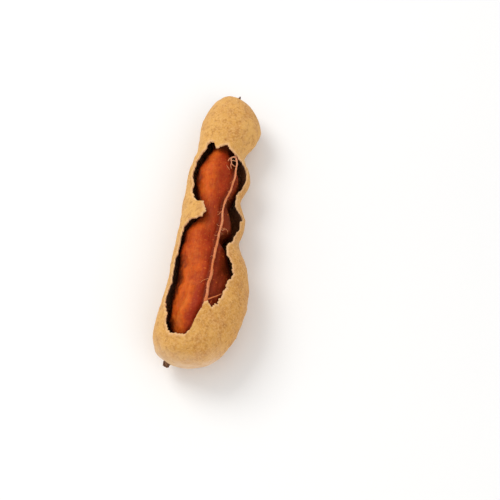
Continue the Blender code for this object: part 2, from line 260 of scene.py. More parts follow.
def window_edge(count):
    """The window's edge as (distance along the back, angle): even steps of the smooth closed line
    through WINDOW, moved square to it by the depth of the bites broken out of it. A bite is the
    size of a wave's height, so bites meet in points that lean into the window."""
    looped = np.concatenate((WINDOW[-3:], WINDOW, WINDOW[:4])).astype(float)
    looped[:, 0] = np.interp(looped[:, 0], Y_LIST, DISTANCE_LIST)
    looped[:, 1] = np.radians(looped[:, 1]) * GIRTH
    steps = np.hypot(*np.diff(looped, axis=0).T)
    length = np.concatenate(((0.0,), np.cumsum(steps)))
    places = np.linspace(length[3], length[-4], count, endpoint=False)
    line = np.stack([smooth_through(length, column, places) for column in looped.T], axis=-1)
    ahead = np.roll(line, -1, axis=0) - np.roll(line, 1, axis=0)
    square = np.stack((ahead[:, 1], -ahead[:, 0]), axis=-1) / np.hypot(*ahead.T)[:, None]
    to_angles = (1, math.degrees(1 / GIRTH))
    on_skin = skin_at(line * to_angles)
    bites = np.abs(relief(on_skin, (LARGE_BITES,))) + np.abs(relief(on_skin, (SMALL_BITES,)))
    bites += relief(on_skin, (EDGE_FRAY,)) - MEAN_BITE
    line += square * bites[:, None]
    return line * to_angles


WINDOW_EDGE = window_edge(EDGE_POINTS)


def fan_starts(ends):
    """Where each ray leaves the window: the outermost crossing of the line from its centre to its
    end with the window's edge."""
    end_y = np.interp(ends[:, 0], DISTANCE_LIST, Y_LIST)
    belly, centre_y, centre_angle = FAN_CENTRES.T
    centre_distance = np.interp(np.interp(end_y, belly, centre_y), Y_LIST, DISTANCE_LIST)
    centres = np.stack((centre_distance, np.interp(end_y, belly, centre_angle)), axis=-1)
    edge = (np.roll(WINDOW_EDGE, -1, axis=0) - WINDOW_EDGE)[None]
    ray = (ends - centres)[:, None]
    offset = WINDOW_EDGE[None] - centres[:, None]
    cross = ray[..., 0] * edge[..., 1] - ray[..., 1] * edge[..., 0]
    along_ray = (offset[..., 0] * edge[..., 1] - offset[..., 1] * edge[..., 0]) / cross
    along_edge = (offset[..., 0] * ray[..., 1] - offset[..., 1] * ray[..., 0]) / cross
    crossing = (along_edge >= 0) & (along_edge <= 1) & (along_ray > 0) & (along_ray < 1)
    furthest = np.where(crossing, along_ray, 0.0).max(axis=1)
    return centres + (ends - centres) * furthest[:, None]


def fan():
    """The rays' starts and ends, round both sides of the pod. They are spaced by the length of
    broken edge and of belly that they cover, so no part of the edge is left coarse."""
    places = np.linspace(0.0, 1.0, TRIAL_RAYS)
    covered = np.abs(np.diff(fan_ends(places, 1)[:, 0])) / BELLY_STEP
    for side in (-1, 1):
        edge = skin_at(fan_starts(fan_ends(places, side)))
        covered += np.minimum(np.linalg.norm(np.diff(edge, axis=0), axis=1), EDGE_JUMP) / EDGE_STEP
    measure = np.concatenate(((0.0,), np.cumsum(covered)))
    places = np.interp(np.linspace(0.0, measure[-1], SIDE_RAYS), measure, places)
    ends = np.concatenate((fan_ends(places, 1), fan_ends(places[-2:0:-1], -1)))
    return fan_starts(ends), ends


def raised(points, depth):
    """The skin's points moved out by their bumps and in by the depth."""
    return points + outward(points) * (relief(points, SKIN_BUMPS) - depth)[..., None]


def shell_grid():
    """The wall as one grid from the belly's outside over the broken edge to the belly's inside.
    The break leans back on the steep sides, since the shell was pushed in from above. Returns the
    points, how far each lies from the edge, and how deep in the wall, from 0 to 1."""
    starts, ends = fan()

    def rings(first, count):
        share = 1 - np.linspace(1.0, 0.0, count + 1)[:, None, None] ** RING_EASE
        return skin_at(first + (ends - first) * share)

    skin = raised(rings(starts, SKIN_RINGS), 0.0)
    skin[..., 2] = np.maximum(skin[..., 2], 0.0)

    steep = np.clip(np.tan(np.radians(starts[:, 1])), -STEEPEST_SNAP, STEEPEST_SNAP)
    snapped = starts + np.stack((0 * steep, np.degrees(SNAP_SLANT * WALL * steep / GIRTH)), axis=-1)
    under = rings(snapped, LINING_RINGS)
    lining = raised(under, WALL + relief(under, LINING_BUMPS))
    lining[..., 2] = np.maximum(lining[..., 2], LEAST_WALL)

    share = np.linspace(0.0, 1.0, EDGE_RINGS + 2)[1:-1, None, None]
    edge = skin[0] * (1 - share) + lining[0] * share
    toward_skin = skin[0] - skin[1]
    toward_skin /= np.linalg.norm(toward_skin, axis=-1, keepdims=True)
    swell = EDGE_SWELL * np.sin(share[..., 0] * math.pi) + relief(edge, EDGE_CRUMBLE)
    edge = edge + toward_skin * swell[..., None]

    points = np.concatenate((skin[::-1], edge, lining))
    from_edge = np.concatenate(
        (
            np.linalg.norm(skin[::-1] - skin[0], axis=-1),
            np.zeros(edge.shape[:2]),
            np.linalg.norm(lining - lining[0], axis=-1),
        )
    )
    depth = np.concatenate(
        (
            np.zeros(skin.shape[:2]),
            np.repeat(share[..., 0], edge.shape[1], axis=1),
            np.ones(lining.shape[:2]),
        )
    )
    return points, from_edge, depth


def mesh_of_grids(name, grids, values=None):
    """A mesh of grids of points (mm), each closed round its second axis. Points that meet, as at a
    pole or a seam, are merged. Each named list of values has one number for each point."""
    faces, start = [], 0
    for grid in grids:
        rows, columns = grid.shape[:2]
        corner = start + np.arange(rows - 1)[:, None] * columns
        here, following = np.arange(columns), (np.arange(columns) + 1) % columns
        across = corner + columns
        quads = (corner + here, corner + following, across + following, across + here)
        faces.append(np.stack(quads, axis=-1).reshape(-1, 4))
        start += rows * columns
    points = np.concatenate([grid.reshape(-1, 3) for grid in grids]) * MM + PLACE
    mesh = bpy.data.meshes.new(name)
    mesh.from_pydata(points.tolist(), [], np.concatenate(faces).tolist())
    for label, numbers in (values or {}).items():
        mesh.attributes.new(label, "FLOAT", "POINT").data.foreach_set("value", np.ravel(numbers))
    shape = bmesh.new()
    shape.from_mesh(mesh)
    bmesh.ops.remove_doubles(shape, verts=shape.verts, dist=1e-7)
    bmesh.ops.recalc_face_normals(shape, faces=shape.faces)
    shape.to_mesh(mesh)
    shape.free()
    mesh.shade_smooth()
    return mesh


def add_piece(name, mesh, material, node):
    """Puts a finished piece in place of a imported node, on the pod's one body."""
    mesh.materials.append(material)
    piece = bpy.data.objects.new(name, mesh)
    bpy.context.scene.collection.objects.link(piece)
    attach(piece, "root")
    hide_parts(node)
    return piece


def add(tree, kind, inputs=None, **settings):
    """A new shader node. Each of its inputs is given a value, or an output socket to link from."""
    node = tree.nodes.new(kind)
    for name, value in settings.items():
        setattr(node, name, value)
    for name, value in (inputs or {}).items():
        if isinstance(value, bpy.types.NodeSocket):
            tree.links.new(value, node.inputs[name])
        else:
            node.inputs[name].default_value = value
    return node


def times(tree, first, second):
    return add(tree, "ShaderNodeMath", {0: first, 1: second}, operation="MULTIPLY").outputs[0]


def plus(tree, first, second):
    return add(tree, "ShaderNodeMath", {0: first, 1: second}, operation="ADD").outputs[0]


def tint(tree, mask, below, above):
    """The colour below where the mask is 0, turning to the colour above where it is 1."""
    colours = {6: below, 7: above}
    for key, colour in colours.items():
        if not isinstance(colour, bpy.types.NodeSocket):
            colours[key] = (*colour, 1.0)
    return add(tree, "ShaderNodeMix", {0: mask, **colours}, data_type="RGBA").outputs[2]


def span(tree, value, low, high, to_low=0.0, to_high=1.0):
    """The value stretched so that low becomes to_low and high becomes to_high, and held there."""
    inputs = {"Value": value, "From Min": low, "From Max": high, "To Min": to_low, "To Max": to_high}
    return add(tree, "ShaderNodeMapRange", inputs).outputs[0]


def shader_group(name, inputs, outputs):
    """An empty shader group with these sockets: the group, its inputs and its output node."""
    group = bpy.data.node_groups.new(name, "ShaderNodeTree")
    for label, (kind, value) in inputs.items():
        socket = group.interface.new_socket(name=label, in_out="INPUT", socket_type=kind)
        if value is not None:
            socket.default_value = value
    for label, kind in outputs.items():
        group.interface.new_socket(name=label, in_out="OUTPUT", socket_type=kind)
    return group, group.nodes.new("NodeGroupInput").outputs, group.nodes.new("NodeGroupOutput").inputs


def mottle_group():
    """Soft patches: 0 to 1 noise whose patches have the given size in mm, cut off at both ends."""
    inputs = {
        "Place": ("NodeSocketVector", None),
        "Size": ("NodeSocketFloat", 5.0),
        "Low": ("NodeSocketFloat", 0.4),
        "High": ("NodeSocketFloat", 0.6),
    }
    group, given, result = shader_group("mottle", inputs, {"Mask": "NodeSocketFloat"})
    scale = add(group, "ShaderNodeMath", {0: 1.0, 1: given["Size"]}, operation="DIVIDE").outputs[0]
    noise = add(group, "ShaderNodeTexNoise", {"Vector": given["Place"], "Scale": scale, "Detail": 3.0})
    mask = add(
        group,
        "ShaderNodeMapRange",
        {"Value": noise.outputs[0], "From Min": given["Low"], "From Max": given["High"]},
    )
    group.links.new(mask.outputs[0], result["Mask"])
    return group


def pores_group():
    """Scattered dots: the middles of some of the cells of a Voronoi pattern, of the given size."""
    inputs = {"Place": ("NodeSocketVector", None), "Size": ("NodeSocketFloat", 2.0)}
    group, given, result = shader_group("pores", inputs, {"Mask": "NodeSocketFloat"})
    scale = add(group, "ShaderNodeMath", {0: 1.0, 1: given["Size"]}, operation="DIVIDE").outputs[0]
    cells = add(group, "ShaderNodeTexVoronoi", {"Vector": given["Place"], "Scale": scale})
    dot = span(group, cells.outputs["Distance"], 0.12, 0.26, 1.0, 0.0)
    shade = add(group, "ShaderNodeSeparateColor", {0: cells.outputs["Color"]}).outputs[0]
    chosen = span(group, shade, 0.6, 0.8)
    group.links.new(times(group, dot, chosen), result["Mask"])
    return group


MOTTLE = mottle_group()
PORES = pores_group()


def mottle(tree, place, size, low, high):
    node = add(tree, "ShaderNodeGroup", node_tree=MOTTLE)
    tree.links.new(place, node.inputs["Place"])
    for label, value in (("Size", size), ("Low", low), ("High", high)):
        node.inputs[label].default_value = value
    return node.outputs["Mask"]


def new_material(name):
    """An empty material: its node tree, its shader, and the object's coordinates in mm."""
    material = bpy.data.materials.new(name)
    material.use_nodes = True
    tree = material.node_tree
    shader = tree.nodes["Principled BSDF"]
    coordinates = add(tree, "ShaderNodeTexCoord").outputs["Object"]
    place = add(tree, "ShaderNodeMapping", {"Vector": coordinates, "Scale": (1 / MM,) * 3}).outputs[0]
    return material, tree, shader, place


def stretched(tree, place, x, y, z):
    """The place with each axis scaled, which stretches a pattern along the axes scaled least."""
    return add(tree, "ShaderNodeMapping", {"Vector": place, "Scale": (x, y, z)}).outputs[0]


def raise_surface(tree, shader, height, depth):
    """Bumps the shader's surface by the height (0 to 1) times the depth in mm."""
    bump = add(tree, "ShaderNodeBump", {"Height": height, "Strength": 1.0, "Distance": depth * MM})
    tree.links.new(bump.outputs[0], shader.inputs["Normal"])


def shell_material():
    """Scurfy tan crust: clouds of straw, tan and russet, peach and cream dust, brown flecks and
    pores. Painted light makes the -X side and the +X side of the tip's neck paler. Low down round
    the stalk end it is paler, partly from dust and partly from painted light bounced up from the
    floor. It is paler where it is broken, and deep brown inside."""
    material, tree, shader, place = new_material("dry_shell")
    from_edge = add(tree, "ShaderNodeAttribute", attribute_name="from_edge").outputs["Fac"]
    depth = add(tree, "ShaderNodeAttribute", attribute_name="depth").outputs["Fac"]
    clouds = mottle(tree, place, 14.0, 0.38, 0.62)
    blotches = mottle(tree, place, 5.0, 0.42, 0.62)
    russet = mottle(tree, stretched(tree, place, 1.0, 0.6, 1.0), 3.4, 0.52, 0.66)
    flecks = mottle(tree, place, 1.7, 0.5, 0.64)
    dust = mottle(tree, place, 0.75, 0.46, 0.62)
    grit = mottle(tree, place, 0.4, 0.5, 0.7)
    pores = add(tree, "ShaderNodeGroup", {"Place": place, "Size": 2.2}, node_tree=PORES).outputs[0]
    axes = add(tree, "ShaderNodeSeparateXYZ", {0: place}).outputs
    # Painted light: paler on the -X side and on the +X side of the tip's neck, where the lamps fall; the
    # clouds and blotches are the crust's own tone.
    pale_and_lit = times(tree, span(tree, axes["X"], *LIT_SIDE_SPAN), 0.55)
    pale_and_lit = plus(tree, pale_and_lit, plus(tree, times(tree, clouds, 0.3), times(tree, blotches, 0.25)))
    lit_neck = times(tree, span(tree, axes["Y"], 18.0, 30.0), span(tree, axes["Y"], 48.0, 40.0))
    pale_and_lit = plus(tree, pale_and_lit, times(tree, lit_neck, span(tree, axes["X"], 1.0, 6.0)))
    colour = tint(tree, pale_and_lit, TAN, STRAW)
    colour = tint(tree, times(tree, russet, 0.42), colour, RUSSET)
    colour = tint(tree, times(tree, flecks, 0.50), colour, UMBER)
    colour = tint(tree, times(tree, dust, 0.50), colour, PEACH_DUST)
    colour = tint(tree, times(tree, grit, 0.34), colour, CREAM)
    colour = tint(tree, times(tree, pores, 0.45), colour, UMBER)
    # Paler low down round the stalk end, in patches: partly dust, partly painted light bounced up from the
    # floor.
    low_down = times(tree, span(tree, axes["Z"], 21.0, 12.0), span(tree, axes["Y"], -47.0, -54.5))
    dust_and_bounce = plus(tree, 0.55, times(tree, mottle(tree, place, 3.0, 0.4, 0.6), 0.4))
    colour = tint(tree, times(tree, low_down, dust_and_bounce), colour, DUST_AND_BOUNCE_PALE)
    worn = span(tree, plus(tree, from_edge, times(tree, dust, 0.5)), 0.35, 1.35, 1.0, 0.0)
    colour = tint(tree, times(tree, worn, 0.65), colour, EDGE_PALE)
    colour = tint(tree, span(tree, depth, 0.75, 0.98), colour, LINING_BROWN)
    tree.links.new(colour, shader.inputs["Base Color"])
    tree.links.new(span(tree, dust, 0.0, 1.0, 0.82, 0.95), shader.inputs["Roughness"])
    grain = plus(tree, times(tree, dust, 0.6), times(tree, grit, 0.4))
    raise_surface(tree, shader, grain, 0.10)
    shader.inputs["Specular IOR Level"].default_value = 0.15
    shader.inputs["Sheen Weight"].default_value = 0.18
    shader.inputs["Sheen Roughness"].default_value = 0.45
    shader.inputs["Sheen Tint"].default_value = (1.0, 0.86, 0.72, 1.0)
    return material


points, from_edge, depth = shell_grid()
shell_mesh = mesh_of_grids("shell_wall", [points], {"from_edge": from_edge, "depth": depth})
add_piece("shell_wall", shell_mesh, shell_material(), "shell")

# ---- Flesh ---------------------------------------------------------------------------------------
# The ripe pulp, a sticky red-orange paste that has dried and shrunk round its row of seeds, so it
# lies loose in the shell. Its crest is orange and moist, its flanks are crimson and wrinkled, and a
# rib with a furrow on either side runs along it under the vein. Painted light adds to the orange
# of the crest and the fold, a painted grey sheen lies along the left flank, and painted shade
# browns the flanks, the hollows, the neck, the far end and the sides of the vein.

# (place along Y, half width to -X, half width to +X)
FLESH_EDGES = np.array(
    (
        (-50.0, 10.0, 8.4),
        (-43.0, 10.7, 10.8),
        (-35.0, 10.6, 11.8),
        (-25.0, 9.6, 11.6),
        (-18.0, 10.6, 8.8),
        (-14.0, 10.9, 7.2),
        (-10.0, 10.8, 4.1),
        (-6.5, 10.6, 4.6),
        (-3.2, 9.6, 6.9),
        (0.5, 7.2, 6.3),
        (4.0, 6.5, 4.5),
        (8.0, 7.6, 4.1),
        (11.7, 9.2, 5.0),
        (17.0, 10.4, 6.3),
        (22.0, 10.3, 5.0),
        (26.5, 9.1, 3.1),
        (31.0, 6.6, 1.8),
        (37.0, 8.2, 5.6),
        (43.0, 9.4, 7.6),
        (50.0, 7.4, 5.4),
    )
)
FLESH_HALF_LENGTH = 51.5
FLESH_BLUNTNESS = 8.0
FLESH_TOP_GAP = 2.7  # depth of the crest below the outside of the shell
FLESH_SIDE_GAP = 1.9
FLESH_ROWS, FLESH_SIDES = 430, 180

LEAST_PLUMPNESS = 0.72  # height of the thinnest neck, as a share of the fullest lobe
PLUMP_BREADTH = 15.0  # a lobe at least this broad is at its full height
# The flesh takes hold of the vein between the first two places along Y and lets go between the last.
HOLD = (-50.0, -44.0, 20.0, 25.0)
HOLD_TURN = 0.4  # the rib fades out where the cosine of the turn from the top is below this
RIB_DROP, RIB_FALL = 0.5, 0.24  # below the vein's middle, and away from it per mm squared
# (depth, middle, half breadth) of each furrow, measured from the vein towards +X
FURROWS = ((0.7, -1.2, 0.8), (0.35, 1.0, 0.6))

LUMPS = ((0.17, 8.0, 21), (0.07, 3.2, 22))
LONG_WRINKLES, SHORT_WRINKLES = (0.06, 2.0, 23), (0.05, 1.1, 24)
DRAWN_OUT = (1.0, 0.28, 1.0)  # squeezes Y, which stretches the wrinkles along the pod
# A fold in the skin near the stalk end: its line, where it fades in and out along Y, and its relief
# as (height, middle, half breadth) measured from the line.
FOLD_LINE = np.array(((-6.6, -48.0), (-6.2, -43.0), (-5.2, -38.5), (-3.6, -34.5), (-3.4, -26.0)))
FOLD_ENDS = (-48.0, -43.0, -31.0, -26.0)
FOLD_RELIEF = ((0.42, 0.0, 0.9), (-0.30, -1.7, 0.9))
# Its painted highlight, in the same form.
FOLD_PAINTED_HIGHLIGHT = ((0.45, 0.0, 1.2),)

# The warm band along the crest, partly the pulp's own orange and partly painted light on the side
# that faces the lamp: (place along Y, its middle, its half breadth), across from -1 to 1.
WARM_BAND = np.array(((-46.0, -0.64, 0.26), (-27.0, -0.66, 0.34), (-12.0, -0.36, 0.42)))
BAND_WAVER = ((0.07, 8.0, 25), (0.04, 2.5, 26))
WARM_SIDE = (-1.4, 2.0)  # it fades towards the vein: half way at this place, at this rate per mm
COOLER = ((0.75, 2.5, 5.5), (0.35, -9.0, 5.0))  # (how much, place along Y, half length)
# Painted shade: (how much, where it begins, where it is full), across and then along Y.
LEFT_FLANK, RIGHT_FLANK, TIP_DARK = (0.9, -0.74, -1.0), (0.35, 0.5, 1.0), (0.8, 28.0, 30.5)
NECK_DARK = ((0.28, 2.5, 5.0),)
VEIN_SHADE = ((0.6, -0.95, 0.55),)
FAR_DARK, FAR_SIDE = 0.42, (0.3, 3.0)  # beyond the vein: half way here, at this rate per mm
HOLLOW_DARK, HOLLOW_DARKEST = 0.45, 0.18  # per mm of hollow, and at most
# Painted grey sheen, the reflection of the bright room along the left flank: its patches as (height, wave
# length, seed) and its band across as (height, middle, half breadth).
SHEEN_PATCHES = (0.6, 4.0, 27)
SHEEN_BAND = ((1.0, -0.88, 0.10),)

# The vein's line along the flesh: points in mm.
VEIN_PATH = np.array(
    (
        (-2.5, -50.5, 17.4),
        (-1.4, -48.4, 20.0),
        (0.4, -44.3, 22.3),
        (1.8, -41.0, 23.1),
        (3.0, -35.6, 23.6),
        (2.95, -28.0, 23.7),
        (3.1, -20.0, 22.9),
        (2.8, -14.0, 21.9),
        (2.9, -9.0, 20.9),
        (3.1, -4.3, 20.2),
        (3.1, 0.4, 20.2),
        (2.9, 5.2, 19.7),
        (3.0, 8.8, 18.5),
        (3.8, 12.6, 17.3),
        (4.8, 19.0, 17.3),
        (4.5, 24.0, 16.6),
        (3.2, 29.2, 15.8),
        (2.2, 32.5, 16.0),
        (1.3, 36.5, 17.3),
        (0.5, 41.0, 17.8),
        (-0.3, 45.5, 17.0),
        (-1.2, 50.5, 13.8),
    )
)

ORANGE = (0.60, 0.088, 0.005)
CRIMSON = (0.29, 0.018, 0.004)
# the colour of the painted shade
SHADE_BROWN = (0.11, 0.018, 0.004)
AMBER = (0.66, 0.165, 0.022)
# painted reflection: the grey sheen on the left flank
SHEEN_GREY = (0.28, 0.070, 0.030)


def bells(value, humps):
    """Rounded humps added up: each is its height at its middle and falls by the exponential of the
    square of the distance over its half breadth."""
    return sum(height * np.exp(-(((value - middle) / half) ** 2)) for height, middle, half in humps)


def growing(value, most, begins, full):
    """0 up to where it begins, rising evenly to the most where it is full."""
    return most * np.clip((value - begins) / (full - begins), 0.0, 1.0)


def fading(value, half_way, rate):
    """1 far below the half-way value, falling on an S curve to 0 far above it."""
    return 1 / (1 + np.exp(rate * (value - half_way)))


def flesh_surface(y, turn):
    """The pulp's skin at each Y and turn round from the top: an oval between the two edges, lower
    where it is narrow, raised to a rib under the vein. Also how far each place is beyond the vein."""
    left, right = (smooth_through(FLESH_EDGES[:, 0], column, y) for column in FLESH_EDGES[:, 1:].T)
    centre_z, shell_half_height = pod_section(y)[2:]
    plumpness = LEAST_PLUMPNESS + (1 - LEAST_PLUMPNESS) * (left + right) / PLUMP_BREADTH
    plumpness = np.clip(plumpness, 0.0, 1.0)
    upper = (shell_half_height - FLESH_TOP_GAP) * plumpness
    lower = shell_half_height - FLESH_SIDE_GAP
    cap = end_cap(y, FLESH_HALF_LENGTH, FLESH_BLUNTNESS)
    x = (right - left) / 2 + (right + left) / 2 * cap * np.sin(turn)
    z = centre_z - REST_DEPTH + np.where(np.cos(turn) > 0, upper, lower) * cap * np.cos(turn)
    beyond = x - np.interp(y, VEIN_PATH[:, 1], VEIN_PATH[:, 0])
    rib = np.interp(y, VEIN_PATH[:, 1], VEIN_PATH[:, 2]) - RIB_DROP - RIB_FALL * beyond**2
    joined = np.logaddexp(2 * z, 2 * rib) / 2
    held = np.clip(np.cos(turn) / HOLD_TURN, 0.0, 1.0) * np.interp(y, HOLD, (0, 1, 1, 0))
    furrow = bells(beyond, FURROWS) * np.clip(np.cos(turn), 0.0, 1.0)
    z = z + (joined - z) * held**2 * (3 - 2 * held) - furrow
    return np.stack((x, y + 0 * x, z), axis=-1), beyond


def flesh_grid():
    """Rings of the pulp's skin with lumps, a fold, and wrinkles drawn along the pod. Also how orange
    its colour is, most on a band along the crest, which is partly its own colour and partly painted
    light, with a painted highlight along the fold; how much painted shade it takes, most on its
    flanks, in its hollows and beside the vein; and how much painted grey sheen it takes, in patches
    where the left flank turns down."""
    y = FLESH_HALF_LENGTH * np.sin(np.linspace(-math.pi / 2, math.pi / 2, FLESH_ROWS))[:, None]
    turn = np.linspace(0.0, 2 * math.pi, FLESH_SIDES, endpoint=False)[None, :]
    smooth, beyond = flesh_surface(y, turn)
    lumps = relief(smooth, LUMPS)
    wrinkles = -np.abs(relief(smooth * DRAWN_OUT, (LONG_WRINKLES,)))
    wrinkles -= np.abs(relief(smooth, (SHORT_WRINKLES,)))
    off_fold = smooth[..., 0] - np.interp(y, FOLD_LINE[:, 1], FOLD_LINE[:, 0])
    on_fold = np.interp(y, FOLD_ENDS, (0.0, 1.0, 1.0, 0.0)) * (np.cos(turn) > 0)
    height = lumps + wrinkles + bells(off_fold, FOLD_RELIEF) * on_fold
    height *= end_cap(y, FLESH_HALF_LENGTH, FLESH_BLUNTNESS)
    spread = np.stack((np.sin(turn), 0 * turn, np.cos(turn)), axis=-1)
    points = smooth + spread * height[..., None]

    middle = (smooth[..., 0].max(axis=1) + smooth[..., 0].min(axis=1))[:, None] / 2
    half_breadth = np.ptp(smooth[..., 0], axis=1)[:, None] / 2 + 1e-6  # never 0, even at the poles
    across = (smooth[..., 0] - middle) / half_breadth + relief(smooth, BAND_WAVER)
    band_middle, band_half = (np.interp(y, WARM_BAND[:, 0], column) for column in WARM_BAND[:, 1:].T)
    # Orange band: partly the pulp's own colour, partly painted light where the crest faces the window
    # light.
    warm_and_lit = bells(across, ((1.0, band_middle, band_half),)) * fading(beyond, *WARM_SIDE)
    # Painted highlight along the fold's ridge.
    warm_and_lit += on_fold * bells(off_fold, FOLD_PAINTED_HIGHLIGHT)
    warm_and_lit *= 1 - bells(y, COOLER)
    # Painted shade: on the flanks turned from the light, at the far end and the neck deep in the shell,
    # beside and beyond the vein, and in the hollows of the lumps and wrinkles.
    painted_shade = growing(across, *LEFT_FLANK) + growing(across, *RIGHT_FLANK) + growing(y, *TIP_DARK)
    painted_shade += bells(beyond, VEIN_SHADE) + bells(y, NECK_DARK) + FAR_DARK * (1 - fading(beyond, *FAR_SIDE))
    painted_shade += np.clip(-(lumps + wrinkles) * HOLLOW_DARK, 0.0, HOLLOW_DARKEST)
    # Painted reflection: grey sheen in patches where the left flank turns down.
    painted_sheen = np.clip(relief(smooth * DRAWN_OUT, (SHEEN_PATCHES,)), 0.0, 1.0) * bells(across, SHEEN_BAND)
    return points, warm_and_lit, np.clip(painted_shade, 0.0, 1.0), painted_sheen


def fibres_group():
    """Fine fibres along the pod: noise squeezed to the given width in mm and drawn out along Y."""
    inputs = {"Place": ("NodeSocketVector", None), "Width": ("NodeSocketFloat", 0.3)}
    group, given, result = shader_group("fibres", inputs, {"Mask": "NodeSocketFloat"})
    drawn = stretched(group, given["Place"], 1.0, 0.16, 1.0)
    scale = add(group, "ShaderNodeMath", {0: 1.0, 1: given["Width"]}, operation="DIVIDE").outputs[0]
    noise = add(group, "ShaderNodeTexNoise", {"Vector": drawn, "Scale": scale, "Detail": 2.0})
    group.links.new(span(group, noise.outputs[0], 0.35, 0.65), result["Mask"])
    return group


FIBRES = fibres_group()


def flesh_material():
    """Moist pulp: orange along the crest, partly its own colour and partly painted light, crimson
    beside it, and painted shade in burnt brown on the flanks and beside the vein, with a painted grey
    sheen on the left flank, a painted amber highlight along the fold, and fine amber fibres and grains."""
    material, tree, shader, place = new_material("moist_flesh")
    warm_and_lit = add(tree, "ShaderNodeAttribute", attribute_name="warm_and_lit").outputs["Fac"]
    painted_shade = add(tree, "ShaderNodeAttribute", attribute_name="painted_shade").outputs["Fac"]
    painted_sheen = add(tree, "ShaderNodeAttribute", attribute_name="painted_sheen").outputs["Fac"]
    patches = mottle(tree, place, 3.5, 0.38, 0.62)
    stains = mottle(tree, place, 1.5, 0.48, 0.66)
    fibres = add(tree, "ShaderNodeGroup", {"Place": place, "Width": 0.45}, node_tree=FIBRES).outputs[0]
    grains = mottle(tree, place, 0.6, 0.48, 0.68)
    specks = mottle(tree, place, 1.0, 0.63, 0.70)
    # The orange here is partly the pulp's own colour and partly painted light.
    heat = plus(tree, times(tree, warm_and_lit, 0.85), times(tree, patches, 0.14))
    colour = tint(tree, heat, CRIMSON, ORANGE)
    colour = tint(tree, times(tree, stains, 0.40), colour, CRIMSON)
    threads = times(tree, plus(tree, fibres, grains), plus(tree, warm_and_lit, 0.35))
    colour = tint(tree, times(tree, threads, 0.22), colour, AMBER)
    # Painted highlight: amber where painted light lifts the warmth past 0.95, mostly on the fold.
    colour = tint(tree, span(tree, warm_and_lit, 0.95, 1.45, 0.0, 0.6), colour, AMBER)
    # Painted shade, browning the flesh.
    colour = tint(tree, painted_shade, colour, SHADE_BROWN)
    # Painted reflection: the grey sheen on the left flank.
    colour = tint(tree, times(tree, painted_sheen, 0.45), colour, SHEEN_GREY)
    colour = tint(tree, times(tree, specks, 0.42), colour, AMBER)
    tree.links.new(colour, shader.inputs["Base Color"])
    tree.links.new(span(tree, patches, 0.0, 1.0, 0.45, 0.60), shader.inputs["Roughness"])
    raise_surface(tree, shader, plus(tree, times(tree, fibres, 0.4), times(tree, grains, 0.6)), 0.05)
    shader.inputs["Specular IOR Level"].default_value = 0.10
    shader.inputs["Subsurface Weight"].default_value = 0.20
    shader.inputs["Subsurface Radius"].default_value = (1.0, 0.25, 0.1)
    shader.inputs["Subsurface Scale"].default_value = 1.0 * MM
    return material


points, warm_and_lit, painted_shade, painted_sheen = flesh_grid()
flesh_mesh = mesh_of_grids("flesh", [points], {"warm_and_lit": warm_and_lit, "painted_shade": painted_shade, "painted_sheen": painted_sheen})
add_piece("flesh", flesh_mesh, flesh_material(), "pulp")

# ---- Vein ----------------------------------------------------------------------------------------
# The tough pale string that fed the seeds. It lies along the rib of the flesh as thick as a pencil
# lead, sends one branch across to the shell, and holds on to the flesh by short curled hairs.

VEIN_RADII = ((-34.0, 0.52), (-14.0, 0.46), (-5.0, 0.40), (30.0, 0.37))  # (place along Y, radius)
VEIN_STEPS, VEIN_SIDES = 700, 20
VEIN_FLUTES = 0.05
SIDEWAYS_WAVER = ((0.10, 7.0, 31), (0.03, 2.0, 32))
UPWARD_WAVER = ((0.06, 6.0, 33),)
SWELLINGS = ((0.07, 5.0, 34), (0.05, 1.6, 35))  # of the radius, as shares of it
KNOTS = ((0.40, -34.6, 1.1), (0.2, 26.8, 0.9))  # (share of the radius, place along Y, half length)

# Branches that stand clear of the flesh: (radius at the root, points in mm).
BRIDGES = (
    (0.30, ((3.1, -34.7, 23.6), (4.3, -34.0, 23.6), (6.0, -32.9, 23.4), (8.6, -30.9, 22.5))),
    (0.34, ((3.7, 27.3, 16.2), (3.1, 27.4, 16.8), (2.4, 27.0, 17.3), (1.6, 26.0, 17.8), (0.9, 24.6, 18.1))),
    (0.24, ((2.2, 26.8, 17.3), (2.0, 25.6, 17.7), (2.4, 24.4, 17.8), (2.3, 23.2, 17.7), (2.9, 21.8, 17.4))),
    (0.18, ((2.1, 25.2, 17.7), (2.9, 25.6, 17.4), (4.2, 25.6, 16.7))),
    (0.20, ((2.5, 24.0, 17.7), (3.3, 23.4, 17.4), (4.6, 23.3, 16.8))),
)
